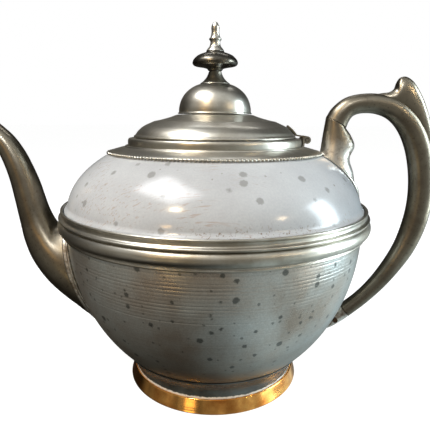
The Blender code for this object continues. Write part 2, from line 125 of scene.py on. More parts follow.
# Furniture and doorways: soft upright bands, lighter and darker, as a noise drawn out along the height.
drawn = add(air, "Mapping", {"Vector": direction, "Scale": (2.4, 2.4, 0.40)})["Vector"]
furniture = add(air, "TexNoise", {"Vector": drawn, "Scale": 1.9, "Detail": 2.0})["Fac"]
furniture = add(air, "MapRange", {"Value": furniture, "From Min": 0.36, "From Max": 0.64, "To Min": 0.40,
                                  "To Max": 1.62})["Result"]
room = add(air, "VectorMath", {0: room, "Scale": furniture}, operation="SCALE")[0]
sees = add(air, "LightPath", {})["Is Camera Ray"]
backdrop = add(air, "MixRGB", {"Fac": sees, "Color1": room, "Color2": (1, 1, 1, 1)})["Color"]
glow = add(air, "Background", {"Color": backdrop, "Strength": 1.0})["Background"]
add(air, "OutputWorld", {"Surface": glow})

# The table is matt and nearly white. It throws no light on the pot and isn't mirrored in the polished metal.
TABLE_HALF = 12.0
TABLE_Z = -0.0002
table_mesh = bpy.data.meshes.new("table_top")
table_corners = [(x * TABLE_HALF, y * TABLE_HALF, TABLE_Z) for x, y in ((-1, -1), (1, -1), (1, 1), (-1, 1))]
table_mesh.from_pydata(table_corners, [], [(0, 1, 2, 3)])
table_top = bpy.data.objects.new("table_top", table_mesh)
bpy.context.scene.collection.objects.link(table_top)
table_paint = bpy.data.materials.new("matt_white_paint")
table_paint.use_nodes = True
paint_shader = table_paint.node_tree.nodes["Principled BSDF"]
paint_shader.inputs["Base Color"].default_value = linear("8C8C8C")
paint_shader.inputs["Roughness"].default_value = 0.9
paint_shader.inputs["Emission Color"].default_value = linear("FFFFFF")
paint_shader.inputs["Emission Strength"].default_value = 0.90
table_mesh.materials.append(table_paint)
table_top.visible_glossy = False
table_top.visible_diffuse = False
table_top.visible_shadow = False

lens = bpy.data.cameras.new("camera")
lens.lens = 36.83
lens.sensor_width = 36.0
lens.shift_x, lens.shift_y = 0.0012, 0.0257
lens.clip_start = 0.01
camera = bpy.data.objects.new("camera", lens)
camera.location = (0.0002, -0.2655, 0.1593)
camera.rotation_mode = "XYZ"
LOOK_DOWN, LOOK_ROLL = math.radians(13.59), math.radians(0.37)
tilt = Matrix.Rotation(math.pi / 2 - LOOK_DOWN, 4, "X")
camera.rotation_euler = (tilt @ Matrix.Rotation(LOOK_ROLL, 4, "Z")).to_euler()
bpy.context.scene.collection.objects.link(camera)
bpy.context.scene.camera = camera
bpy.context.scene.view_settings.view_transform = "Standard"


# ---------------------------------------- lower bowl
# One spun sheet-iron bowl, dipped in slate grey enamel that has gone satin with use. A dozen fine rings were
# turned into it below the band, and dark round specks came up in the firing.

SHEET = 1.2
bowl_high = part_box("lower_bowl")[1] / MM
BOWL_RADIUS, BOWL_TOP = bowl_high.x, bowl_high.z
BOWL_WIDEST_Z = 97.0
BOWL_DEPTH = 99.0
RING_PITCH = 1.85
RING_LOW, RING_HIGH = 69.5, 94.0
RING_DEPTH = 0.085
SHARPEST_SMOOTH = math.radians(55)  # folds above this stay crisp


def skin(name, grid, closed):
    """A mesh over a grid of points (rows, columns, xyz) in mm. Each row is a ring, and the last row joins the
    first where closed is true; else the first and last rows are points. The sign of the volume that the faces
    hold turns them outwards."""
    rows, columns = grid.shape[:2]
    index = np.arange(rows * columns).reshape(rows, columns)
    if closed:
        index = np.vstack([index, index[:1]])
    beside = np.roll(index, -1, axis=1)
    faces = np.stack([index[:-1], beside[:-1], beside[1:], index[1:]], axis=-1).reshape(-1, 4)
    points = grid.reshape(-1, 3) * MM
    a, b, c, d = (points[faces[:, k]] for k in range(4))
    volume = (a * (np.cross(b, c) + np.cross(c, d))).sum()
    mesh = bpy.data.meshes.new(name)
    mesh.from_pydata(points.tolist(), [], (faces if volume > 0 else faces[:, ::-1]).tolist())
    welded = bmesh.new()
    welded.from_mesh(mesh)
    bmesh.ops.remove_doubles(welded, verts=welded.verts, dist=1e-6)
    bmesh.ops.dissolve_degenerate(welded, edges=welded.edges, dist=1e-7)
    welded.to_mesh(mesh)
    welded.free()
    mesh.shade_smooth()
    mesh.set_sharp_from_angle(angle=SHARPEST_SMOOTH)
    obj = bpy.data.objects.new(name, mesh)
    bpy.context.scene.collection.objects.link(obj)
    return obj


def turned(name, outline, around=224):
    """An outline of (radius, height) in mm spun round the pot's axis: x = r cos t, y = r sin t, z = height.
    An outline that starts and ends on the axis is open there, and any other closes on itself."""
    outline = np.array(outline, float)
    turn = 2 * np.pi * np.arange(around) / around
    r, z = outline[:, :1], outline[:, 1:2]
    grid = np.stack([r * np.cos(turn), r * np.sin(turn), z + 0 * turn], axis=-1)
    return skin(name, grid, closed=outline[0, 0] > 0)


def bowl_radius(z):
    """Outside radius of the bowl: an ellipse below its widest height, and straight above."""
    below = np.maximum(BOWL_WIDEST_Z - z, 0)
    return BOWL_RADIUS * np.sqrt(1 - (below / BOWL_DEPTH) ** 2)


def ring_groove(z):
    """Depth of the turned rings at height z: narrow valleys a pitch apart, as a cosine to the power six, each
    with its own depth from a sine of its number."""
    count = (z - RING_LOW) / RING_PITCH
    shape = np.cos(np.pi * (count - np.round(count))) ** 6
    own_depth = 0.62 + 0.38 * np.sin(5.1 * np.round(count))
    return RING_DEPTH * shape * own_depth * ((z > RING_LOW - 1) & (z < RING_HIGH))


plain_z = np.linspace(19.0, RING_LOW - 1, 46)
ringed_z = np.arange(RING_LOW - 1, RING_HIGH, 0.17)
outside_z = np.concatenate([plain_z, ringed_z[1:], np.linspace(RING_HIGH + 0.3, BOWL_TOP, 8)])
bowl_outside = np.column_stack([bowl_radius(outside_z) - ring_groove(outside_z), outside_z])
inside_z = np.linspace(BOWL_TOP, 20.2, 40)
inside_below = np.maximum(BOWL_WIDEST_Z - inside_z, 0)
inside_r = (BOWL_RADIUS - SHEET) * np.sqrt(1 - (inside_below / (BOWL_DEPTH - SHEET)) ** 2)
bowl_outline = np.vstack([
    [(0, 15.0), (20, 15.05), (42, 15.4), (46, 16.0), (49.5, 17.0)],
    bowl_outside,
    np.column_stack([inside_r, inside_z]),
    [(49.2, 18.3), (45.8, 17.2), (42, 16.6), (20, 16.25), (0, 16.2)],
])
lower_bowl = turned("lower_bowl_shell", bowl_outline)


def repeated(name, piece, places):
    """One object from copies of a piece, each moved by its own 4 x 4 matrix. The piece itself is used up."""
    joined = bmesh.new()
    for place in places:
        copy = piece.data.copy()
        copy.transform(place)
        joined.from_mesh(copy)
        bpy.data.meshes.remove(copy)
    mesh = bpy.data.meshes.new(name)
    joined.to_mesh(mesh)
    joined.free()
    bpy.data.objects.remove(piece)
    obj = bpy.data.objects.new(name, mesh)
    bpy.context.scene.collection.objects.link(obj)
    return obj


# The strainer is drilled in the wall behind the spout: one hole and a ring of six round it. Each drill is a
# rod along X, as four rings whose radii are 0, the hole's, the hole's and 0.
STRAINER_RADIUS = 2.0
STRAINER_PITCH = 8.0
STRAINER_Z = 66.0
DRILL_FROM, DRILL_TO = -90.0, -70.0
drill_turn = 2 * np.pi * np.arange(20) / 20
drill_x = np.array([DRILL_FROM, DRILL_FROM, DRILL_TO, DRILL_TO])[:, None]
drill_r = STRAINER_RADIUS * np.array([0, 1, 1, 0])[:, None]
drill_rings = np.stack([drill_x + 0 * drill_turn, drill_r * np.cos(drill_turn),
                        STRAINER_Z + drill_r * np.sin(drill_turn)], axis=-1)
drill = skin("strainer_drill", drill_rings, closed=False)
hole_turn = np.radians(30 + 60 * np.arange(6))
ring_places = STRAINER_PITCH * np.column_stack([0 * hole_turn, np.cos(hole_turn), np.sin(hole_turn)])
hole_places = [Matrix.Translation(Vector(at) * MM) for at in ((0, 0, 0), *ring_places.tolist())]
drill_obj = repeated("strainer_drills", drill, hole_places)
drill_obj.data.shade_flat()
drilling = lower_bowl.modifiers.new("strainer", "BOOLEAN")
drilling.operation = "DIFFERENCE"
drilling.solver = "MANIFOLD"
drilling.object = drill_obj
bpy.context.view_layer.update()
settled = bpy.context.evaluated_depsgraph_get()
drilled = bpy.data.meshes.new_from_object(lower_bowl.evaluated_get(settled))
drilled.materials.clear()
lower_bowl.modifiers.clear()
lower_bowl.data = drilled
bpy.data.objects.remove(drill_obj)


def finish(name):
    """A new material: itself, its node tree, its Principled shader, and its piece's coordinates in metres."""
    material = bpy.data.materials.new(name)
    material.use_nodes = True
    tree = material.node_tree
    return material, tree, tree.nodes["Principled BSDF"], add(tree, "TexCoord", {})["Object"]


def patches(tree, place, scale, detail, roughness, low, high):
    """Soft patches from 0 to 1: a noise with `scale` features to the metre, spread between two levels."""
    noise = {"Vector": place, "Scale": scale, "Detail": detail, "Roughness": roughness}
    spread = {"Value": add(tree, "TexNoise", noise)["Fac"], "From Min": low, "From Max": high}
    return add(tree, "MapRange", spread)["Result"]


SPECK_WOBBLE = 0.0013  # how far a speck's edge wanders, in metres


def specks(tree, place, spacing, least, most, rarity):
    """A mask of round specks in a solid: one in each cell, about the spacing apart in metres, where the
    cell's own chance passes the rarity. Radii run from least to most, in cells, and the edges are uneven."""
    wobble = add(tree, "TexNoise", {"Vector": place, "Scale": 900.0, "Detail": 2.0})["Color"]
    wobble = add(tree, "VectorMath", {0: wobble, "Scale": SPECK_WOBBLE}, operation="SCALE")[0]
    uneven = add(tree, "VectorMath", {0: wobble, 1: place}, operation="ADD")[0]
    cell = add(tree, "TexVoronoi", {"Vector": uneven, "Scale": 1 / spacing, "Randomness": 1.0})
    chance = add(tree, "SeparateColor", {0: cell["Color"]})["Red"]
    radius = add(tree, "MapRange", {"Value": chance, "From Min": rarity, "From Max": 1.0, "To Min": least,
                                    "To Max": most}, clamp=False)["Result"]
    inside = add(tree, "Math", {0: radius, 1: cell["Distance"]}, operation="SUBTRACT")[0]
    edge = {"Value": inside, "From Min": -0.04, "From Max": 0.10}
    return add(tree, "MapRange", edge, **EASED_RAMP)["Result"]


# Slate enamel: glass fused on iron, worn satin, clouded brown and blue-green in patches 40 mm across, with
# painted shade towards the bottom. Its grit of 0.7 mm and streaks 0.8 mm apart are drawn coarse enough to
# show.
slate, tree, shader, place = finish("slate_enamel_satin")
cloud = patches(tree, place, 24.0, 5.0, 0.6, 0.35, 0.65)
ground = add(tree, "MixRGB", {"Fac": cloud, "Color1": linear("A2978A"), "Color2": linear("BAC0BE")})["Color"]
grit = add(tree, "TexNoise", {"Vector": place, "Scale": 1400.0, "Detail": 2.0})["Fac"]
grit = add(tree, "MapRange", {"Value": grit, "From Min": 0.42, "From Max": 0.62, "To Min": 0.90,
                             "To Max": 1.05})["Result"]
ground = add(tree, "VectorMath", {0: ground, "Scale": grit}, operation="SCALE")[0]
height = add(tree, "SeparateXYZ", {0: place})["Z"]
# Painted shade: the ground is darkened by about half and browned from 62 mm down to 18 mm, where the bowl
# turns under.
low = add(tree, "MapRange", {"Value": height, "From Min": 0.062, "From Max": 0.018}, **EASED_RAMP)["Result"]
painted_bottom_shade = add(tree, "MixRGB", {"Fac": low, "Color1": (1, 1, 1, 1), "Color2": linear("B8B2A6")})["Color"]
ground = add(tree, "VectorMath", {0: ground, 1: painted_bottom_shade}, operation="MULTIPLY")[0]
turning = add(tree, "TexNoise", {"W": height, "Scale": 1300.0, "Detail": 3.0}, noise_dimensions="1D")["Fac"]
streak = add(tree, "MapRange", {"Value": turning, "From Min": 0.3, "From Max": 0.7, "To Min": 0.93,
                               "To Max": 1.05})["Result"]
ground = add(tree, "VectorMath", {0: ground, "Scale": streak}, operation="SCALE")[0]
large = specks(tree, place, 0.0055, 0.08, 0.36, 0.46)
small = specks(tree, place, 0.0035, 0.06, 0.28, 0.62)
large = add(tree, "Math", {0: large, 1: 0.72}, operation="MULTIPLY")[0]
small = add(tree, "Math", {0: small, 1: 0.55}, operation="MULTIPLY")[0]
ground = add(tree, "MixRGB", {"Fac": large, "Color1": ground, "Color2": linear("343B39")})["Color"]
ground = add(tree, "MixRGB", {"Fac": small, "Color1": ground, "Color2": linear("3A403E")})["Color"]
tree.links.new(ground, shader.inputs["Base Color"])
wear = add(tree, "MapRange", {"Value": cloud, "To Min": 0.26, "To Max": 0.36})["Result"]
tree.links.new(wear, shader.inputs["Roughness"])
relief = add(tree, "Math", {0: turning, 1: grit}, operation="ADD")[0]
bump = add(tree, "Bump", {"Height": relief, "Strength": 0.10, "Distance": 0.00025})["Normal"]
tree.links.new(bump, shader.inputs["Normal"])
shader.inputs["Metallic"].default_value = 0.80
lower_bowl.data.materials.append(slate)
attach(lower_bowl, "pot")
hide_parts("lower_bowl")


# ---------------------------------------- upper dome
# The shoulder is a second spun shell, in a pale glossy enamel. Its lip turns out under the band, where damp
# has lifted the enamel and left rust, and the shoulder has fine rubbing marks and a few dark specks.

DOME_RADIUS = 86.0
DOME_RISE = 46.0
DOME_WIDEST_Z = 108.0
DOME_MOUTH_RADIUS = 59.5

# The outside is a quarter of an ellipse (radius a cos u, height b sin u), and the inside is a sheet less.
rise = np.linspace(0.10, math.acos(DOME_MOUTH_RADIUS / DOME_RADIUS), 90)
dome_curve, inner_curve = (np.column_stack([(DOME_RADIUS - less) * np.cos(rise),
                                            DOME_WIDEST_Z + (DOME_RISE - less) * np.sin(rise)])
                           for less in (0, SHEET))
dome_outline = np.vstack([
    [(87.6, 103.6), (87.6, 109.0), (87.5, 109.9), (87.1, 110.6), (86.4, 111.2), (85.95, 111.9)],
    dome_curve, inner_curve[::-1],
    [(84.9, 111.6), (86.1, 110.3), (86.4, 109.6), (86.4, 103.6)],
])
upper_dome = turned("upper_dome_shell", dome_outline)

# Pale enamel: glass fused on iron and still glossy, so lamps show in it. It clouds softly in patches 50 mm
# across, has a grit of 1 mm and a faint ripple of 8 mm.
pale, tree, shader, place = finish("pale_enamel_gloss")
cloud = patches(tree, place, 20.0, 4.0, 0.55, 0.35, 0.65)
ground = add(tree, "MixRGB", {"Fac": cloud, "Color1": linear("979A9D"), "Color2": linear("A6AAAD")})["Color"]
grit = add(tree, "TexNoise", {"Vector": place, "Scale": 1100.0, "Detail": 3.0})["Fac"]
grit = add(tree, "MapRange", {"Value": grit, "From Min": 0.38, "From Max": 0.62, "To Min": 0.965,
                             "To Max": 1.02})["Result"]
ground = add(tree, "VectorMath", {0: ground, "Scale": grit}, operation="SCALE")[0]
large = specks(tree, place, 0.0070, 0.10, 0.34, 0.62)
small = specks(tree, place, 0.0040, 0.06, 0.22, 0.80)
large = add(tree, "Math", {0: large, 1: 0.58}, operation="MULTIPLY")[0]
small = add(tree, "Math", {0: small, 1: 0.6}, operation="MULTIPLY")[0]
ground = add(tree, "MixRGB", {"Fac": large, "Color1": ground, "Color2": linear("626260")})["Color"]
ground = add(tree, "MixRGB", {"Fac": small, "Color1": ground, "Color2": linear("615B55")})["Color"]
# Rubbing marks: thin arcs along the shoulder, a millimetre wide and ten long, kept to patches 30 mm across.
drawn = add(tree, "Mapping", {"Vector": place, "Rotation": (0.0, 0.35, 0.5),
                              "Scale": (90.0, 1500.0, 700.0)})["Vector"]
mark = add(tree, "TexNoise", {"Vector": drawn, "Scale": 1.0, "Detail": 2.0})["Fac"]
mark = add(tree, "MapRange", {"Value": mark, "From Min": 0.58, "From Max": 0.66})["Result"]
patch = add(tree, "TexNoise", {"Vector": place, "Scale": 30.0, "Detail": 1.0})["Fac"]
patch = add(tree, "MapRange", {"Value": patch, "From Min": 0.50, "From Max": 0.60, "To Max": 0.6})["Result"]
mark = add(tree, "Math", {0: mark, 1: patch}, operation="MULTIPLY")[0]
ground = add(tree, "MixRGB", {"Fac": mark, "Color1": ground, "Color2": linear("8E7F76")})["Color"]
# Rust in the joint with the band along the front, in crumbs of about a millimetre that thin out within 5 mm.
height = add(tree, "SeparateXYZ", {0: place})["Z"]
low = add(tree, "MapRange", {"Value": height, "From Min": 0.1165, "From Max": 0.1115})["Result"]
crumb = patches(tree, place, 750.0, 4.0, 0.7, 0.57, 0.62)
across = add(tree, "SeparateXYZ", {0: place})["X"]
from_left, to_right = (
    add(tree, "MapRange", {"Value": across, "From Min": start, "From Max": end}, **EASED_RAMP)["Result"]
    for start, end in ((-0.040, 0.004), (0.075, 0.030)))
stretch = add(tree, "Math", {0: from_left, 1: to_right}, operation="MULTIPLY")[0]
rust = add(tree, "Math", {0: crumb, 1: stretch}, operation="MULTIPLY")[0]
rust = add(tree, "Math", {0: rust, 1: low}, operation="MULTIPLY")[0]
ground = add(tree, "MixRGB", {"Fac": rust, "Color1": ground, "Color2": linear("5B4733")})["Color"]
tree.links.new(ground, shader.inputs["Base Color"])
wear = add(tree, "MapRange", {"Value": cloud, "To Min": 0.15, "To Max": 0.21})["Result"]
wear = add(tree, "Math", {0: wear, 1: rust}, operation="MAXIMUM")[0]
tree.links.new(wear, shader.inputs["Roughness"])
ripple = add(tree, "TexNoise", {"Vector": place, "Scale": 130.0, "Detail": 3.0})["Fac"]
bump = add(tree, "Bump", {"Height": ripple, "Strength": 0.12, "Distance": 0.0004})["Normal"]
tree.links.new(bump, shader.inputs["Normal"])
upper_dome.data.materials.append(pale)
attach(upper_dome, "pot")
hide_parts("upper_dome")


# ---------------------------------------- waist band
# A hollow belt of white metal, a tin alloy, spun to a half-round with a fine bead, a flute and a rolled edge,
# pressed over the joint of the two shells. Polish has gone dull and brown in the hollows.

EASING_LIMIT = 0.45


def eased(outline, steps=6):
    """A closed outline from rows of (radius, height, easing) in mm. Each corner becomes a quadratic curve
    that leaves and meets its sides at the easing's distance, but at most at EASING_LIMIT of the side."""
    rows = np.array(outline, float)
    corner = rows[:, :2]
    ends = []
    for step in (1, -1):
        side = np.roll(corner, step, axis=0) - corner
        length = np.linalg.norm(side, axis=1)
        ends.append(corner + side * (np.minimum(rows[:, 2], EASING_LIMIT * length) / length)[:, None])
    t = np.linspace(0, 1, steps)[:, None, None]
    points = (1 - t) ** 2 * ends[0] + 2 * t * (1 - t) * corner + t ** 2 * ends[1]
    points = points.transpose(1, 0, 2).reshape(-1, 2)
    return points[np.linalg.norm(points - np.roll(points, 1, axis=0), axis=1) > 1e-5]


def arc(centre, radius, start, end, count=16):
    """Rows of (radius, height, 0) on an arc of the profile, between two angles in degrees from level."""
    turn = np.radians(np.linspace(start, end, count))
    return np.column_stack([centre[0] + radius * np.cos(turn), centre[1] + radius * np.sin(turn), 0 * turn])


band_outline = eased(np.vstack([
    [(87.25, 95.7, 0.1)], arc((88.0, 96.4), 0.75, -90, 60, 9), [(88.35, 97.3, 0.2), (88.5, 97.7, 0.2)],
    arc((87.4, 101.5), 4.1, -66, 64, 30), [(89.5, 105.4, 0.1)],
    arc((90.05, 106.15), 0.78, -75, 85, 10),
    [(89.6, 107.0, 0.2), (89.0, 107.5, 0.3), (88.85, 108.4, 0.5), (88.95, 109.2, 0.3)],
    arc((88.9, 110.1), 0.62, -50, 110, 10), [(88.1, 110.6, 0.1), (88.1, 99.8, 0.2), (87.25, 98.4, 0.1)],
]))
waist_band = turned("waist_band_belt", band_outline, around=240)


def lathe_lines(tree, place, scale, detail):
    """Turning marks, `scale` to the metre: a noise of radius plus height, in rings on walls and flats."""
    flat = add(tree, "VectorMath", {0: place, 1: (1, 1, 0)}, operation="MULTIPLY")[0]
    radius = add(tree, "VectorMath", {0: flat}, operation="LENGTH")["Value"]
    height = add(tree, "SeparateXYZ", {0: place})["Z"]
    along = add(tree, "Math", {0: radius, 1: height}, operation="ADD")[0]
    return add(tree, "TexNoise", {"W": along, "Scale": scale, "Detail": detail}, noise_dimensions="1D")["Fac"]


# White metal: bright tin alloy, spun and turned. Turning leaves rings 0.4 mm apart, and it tarnishes warm in
# patches 20 mm across.
white_metal, tree, shader, place = finish("white_metal_spun")
lines = lathe_lines(tree, place, 2600.0, 3.0)
tarnish = patches(tree, place, 55.0, 6.0, 0.62, 0.38, 0.66)
alloy, tarnished = linear("C4C1B7"), linear("9D978A")
ground = add(tree, "MixRGB", {"Fac": tarnish, "Color1": alloy, "Color2": tarnished})["Color"]
tree.links.new(ground, shader.inputs["Base Color"])
dull = add(tree, "MapRange", {"Value": tarnish, "To Min": 0.29, "To Max": 0.40})["Result"]
tree.links.new(dull, shader.inputs["Roughness"])
dent = add(tree, "TexNoise", {"Vector": place, "Scale": 260.0, "Detail": 3.0})["Fac"]
relief = add(tree, "Math", {0: lines, 1: 0.35, 2: dent}, operation="MULTIPLY_ADD")[0]
bump = add(tree, "Bump", {"Height": relief, "Strength": 0.06, "Distance": 0.0003})["Normal"]
tree.links.new(bump, shader.inputs["Normal"])
shader.inputs["Metallic"].default_value = 1.0
waist_band.data.materials.append(white_metal)
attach(waist_band, "pot")
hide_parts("waist_band")


# ---------------------------------------- collar and mouth ring
# The collar is a spun white-metal skirt that closes the shoulder. Its lower edge is milled into a row of
# beads, and a small roll at its top meets the upright mouth ring that the lid sits on.

BEAD_RADIUS = 0.85
BEAD_PITCH = 2.05
BEAD_RING = (61.9, 140.9)
collar = turned("collar_skirt", eased([
    (60.9, 140.3, 0.2), (61.5, 140.4, 0.2), (61.5, 141.2, 0.3), (60.9, 141.7, 0.4), (59.3, 142.4, 1.0),
    (55.0, 143.6, 1.5), (52.4, 144.1, 0.4), (52.2, 144.8, 0.4), (51.2, 145.0, 0.3), (50.9, 144.2, 0.1),
    (45.0, 144.2, 0.1), (45.0, 143.3, 0.1), (50.5, 143.3, 0.5), (54.8, 142.6, 1.5), (59.0, 141.5, 0.8),
    (60.4, 140.8, 0.3),
]))
collar.data.materials.append(white_metal)
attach(collar, "pot")
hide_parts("collar")

# Each bead is a small ball sunk by half in the skirt's edge: latitude and longitude on a sphere.
bead_count = round(2 * math.pi * BEAD_RING[0] / BEAD_PITCH)
latitude = np.linspace(-np.pi / 2, np.pi / 2, 7)[:, None]
longitude = 2 * np.pi * np.arange(10) / 10
ball = BEAD_RADIUS * np.stack([np.cos(latitude) * np.cos(longitude), np.cos(latitude) * np.sin(longitude),
                               np.sin(latitude) + 0 * longitude], axis=-1)
to_edge = Matrix.Translation(Vector((BEAD_RING[0], 0, BEAD_RING[1])) * MM)
bead_places = [Matrix.Rotation(2 * math.pi * i / bead_count, 4, "Z") @ to_edge for i in range(bead_count)]
beading = repeated("collar_beading", skin("bead", ball, closed=False), bead_places)
beading.data.shade_smooth()
beading.data.materials.append(white_metal)
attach(beading, "pot")

mouth_ring = turned("mouth_ring_wall", eased([
    (50.6, 144.5, 0.2), (50.6, 147.6, 0.9), (50.0, 148.9, 0.6), (45.0, 148.9, 0.3), (45.0, 144.5, 0.1),
    (45.9, 144.5, 0.1), (45.9, 148.0, 0.3), (49.4, 148.0, 0.5), (49.7, 147.0, 0.3), (49.7, 144.5, 0.1),
]))
mouth_ring.data.materials.append(white_metal)
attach(mouth_ring, "pot")
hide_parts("mouth_ring")


# ---------------------------------------- foot shell
# A short enamelled spool under the bowl. Its enamel has chipped to the cream ground coat along the line where
# the copper base grips it.

foot_shell = turned("foot_shell_spool", eased([
    (49.9, 1.6, 0.1), (50.1, 8.4, 1.0), (50.5, 11.2, 1.5), (51.8, 14.6, 2.0), (54.2, 18.2, 1.6),
    (57.0, 21.3, 0.6), (57.9, 22.8, 0.2), (57.2, 22.2, 0.2), (54.0, 18.9, 1.6), (51.0, 14.8, 2.0),
    (49.6, 11.3, 1.5), (49.1, 8.4, 1.0), (48.7, 1.6, 0.1),
]))
# The bowl's slate enamel, much darker on the foot, clouded in patches 17 mm across. The
# cream ground coat shows along an edge that is ragged by about a millimetre.
foot_enamel, tree, shader, place = finish("slate_enamel_chipped")
cloud = patches(tree, place, 60.0, 5.0, 0.65, 0.35, 0.65)
ground = add(tree, "MixRGB", {"Fac": cloud, "Color1": linear("2E312F"), "Color2": linear("555B59")})["Color"]
dots = specks(tree, place, 0.006, 0.02, 0.16, 0.60)
dots = add(tree, "Math", {0: dots, 1: 0.6}, operation="MULTIPLY")[0]
ground = add(tree, "MixRGB", {"Fac": dots, "Color1": ground, "Color2": linear("2C302F")})["Color"]
height = add(tree, "SeparateXYZ", {0: place})["Z"]
ragged = add(tree, "TexNoise", {"Vector": place, "Scale": 420.0, "Detail": 4.0, "Roughness": 0.7})["Fac"]
edge = add(tree, "Math", {0: ragged, 1: 0.0028, 2: height}, operation="MULTIPLY_ADD")[0]
chipped = add(tree, "MapRange", {"Value": edge, "From Min": 0.01085, "From Max": 0.01045})["Result"]
ground = add(tree, "MixRGB", {"Fac": chipped, "Color1": ground, "Color2": linear("E9E6DC")})["Color"]
tree.links.new(ground, shader.inputs["Base Color"])
shader.inputs["Roughness"].default_value = 0.26
gloss = add(tree, "MapRange", {"Value": chipped, "To Min": 0.18, "To Max": 0.0})["Result"]
tree.links.new(gloss, shader.inputs["Metallic"])
bump = add(tree, "Bump", {"Height": ragged, "Strength": 0.15, "Distance": 0.0003})["Normal"]
tree.links.new(bump, shader.inputs["Normal"])
foot_shell.data.materials.append(foot_enamel)
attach(foot_shell, "pot")
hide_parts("foot_shell")


# ---------------------------------------- copper base
# A dish of sheet copper, raised and turned, with a flared wall and a rolled foot edge. It is kept bright by
# rubbing, with brown left in the turning marks.

# The last two corners only give the easing of the others their sides, so their twelve points are left out.
copper_wall = eased([
    (52.6, 0.0, 0.5), (53.5, 0.35, 0.4), (53.3, 1.2, 0.5), (52.4, 4.2, 2.0), (51.5, 8.0, 0.2),
    (51.1, 8.4, 0.25), (50.4, 8.2, 0.2), (50.9, 4.2, 1.0), (50.7, 1.2, 0.3), (49.0, 1.2, 0.1),
    (49.0, 0.6, 0.1),
])[:-12]
copper_base = turned("copper_base_dish", np.vstack([[(0, 0)], copper_wall, [(50.0, 1.2), (0, 1.2)]]))

# Copper, rubbed bright: orange, browner in patches 20 mm across, with turning marks 0.5 mm apart.
copper, tree, shader, place = finish("copper_rubbed")
lines = lathe_lines(tree, place, 2200.0, 2.0)
brown = patches(tree, place, 45.0, 5.0, 0.6, 0.44, 0.60)
ground = add(tree, "MixRGB", {"Fac": brown, "Color1": linear("FFBE6A"), "Color2": linear("C87F3A")})["Color"]
tree.links.new(ground, shader.inputs["Base Color"])
dull = add(tree, "MapRange", {"Value": brown, "To Min": 0.15, "To Max": 0.27})["Result"]
tree.links.new(dull, shader.inputs["Roughness"])
bump = add(tree, "Bump", {"Height": lines, "Strength": 0.10, "Distance": 0.0002})["Normal"]
tree.links.new(bump, shader.inputs["Normal"])
shader.inputs["Metallic"].default_value = 1.0
copper_base.data.materials.append(copper)
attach(copper_base, "pot")
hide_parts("copper_base")


# ---------------------------------------- spout
# One hollow casting in white metal with a brown patina, a swan neck that flares to a wide root. The root is
# filed to the belly and soldered on inside a cuff.

SPOUT_STATIONS = [
    # upper edge x, z; lower edge x, z; half width along Y
    (-74.0, 92.0, -52.0, 38.0, 17.0),
    (-89.0, 93.0, -71.0, 33.5, 18.5),
    (-96.8, 94.6, -86.0, 43.5, 17.8),
    (-99.8, 98.8, -101.5, 57.0, 15.6),
    (-101.4, 103.2, -111.6, 71.0, 13.2),
    (-102.8, 108.0, -116.6, 84.0, 11.4),
    (-104.2, 113.8, -119.0, 97.6, 10.0),
    (-106.2, 121.8, -121.2, 112.0, 9.0),
    (-109.4, 130.8, -123.2, 123.8, 8.2),
    (-113.6, 140.4, -126.2, 134.4, 7.5),
    (-119.4, 149.2, -130.0, 143.2, 7.0),
    (-127.0, 156.4, -135.4, 150.0, 6.7),
    (-133.4, 161.6, -141.4, 154.0, 6.9),
]
SPOUT_WALL = 1.4
GAP = 0.3  # between a limb's root and the body
UNDER_BAND_Z = 95.0

# The body's outside: the bowl up to the band, the band's outside up to its bead (the first 78 of its points),
# the dome past its lip (from point 5 on), and the collar's slope, closed at the axis.
body_profile = np.vstack([bowl_outside[outside_z < UNDER_BAND_Z], band_outline[:78], dome_curve[5:],
                          [(62.4, 141.0), (50.9, 144.2), (0.0, 144.6)]])
body_profile = body_profile[np.argsort(body_profile[:, 1], kind="stable")]


def body_radius(z):
    """Outside radius of the finished body at height z, read between the points of its turned outlines."""
    return np.interp(z, body_profile[:, 1], body_profile[:, 0])


def smooth_through(stations, per_span):
    """Catmull-Rom curve through the rows of stations, as one array with per_span steps between neighbours."""
    rows = np.array(stations, float)
    rows = np.vstack([2 * rows[0] - rows[1], rows, 2 * rows[-1] - rows[-2]])
    a, b, c, d = (rows[k:len(rows) - 3 + k, None] for k in range(4))
    t = (np.arange(per_span) / per_span)[None, :, None]
    curve = b + 0.5 * ((c - a) * t + (2 * a - 5 * b + 4 * c - d) * t ** 2 + (3 * b - a - 3 * c + d) * t ** 3)
    return np.vstack([curve.reshape(-1, rows.shape[1]), rows[-2:-1]])


def oval_rings(stations, per_span, grow=0.0, around=96, square=1.0):
    """Rings across a limb, pushed out by `grow` mm: middle + cos t * half the span between its two edges
    + sin t * its half width along Y. Square under 1 fills the corners out, as the power of both sine and
    cosine."""
    rows = smooth_through(stations, per_span)
    upper, lower = (np.stack([rows[:, k], 0 * rows[:, k], rows[:, k + 1]], axis=1) for k in (0, 2))
    middle, half = (upper + lower) / 2, (upper - lower) / 2
    half *= 1 + grow / np.linalg.norm(half, axis=1)[:, None]
    t = 2 * np.pi * np.arange(around) / around
    across, beside = (np.sign(f) * np.abs(f) ** square for f in (np.cos(t), np.sin(t)))
    wide = np.stack([0 * rows[:, 4], rows[:, 4] + grow, 0 * rows[:, 4]], axis=1)
    return middle[:, None] + across[None, :, None] * half[:, None] + beside[None, :, None] * wide[:, None]


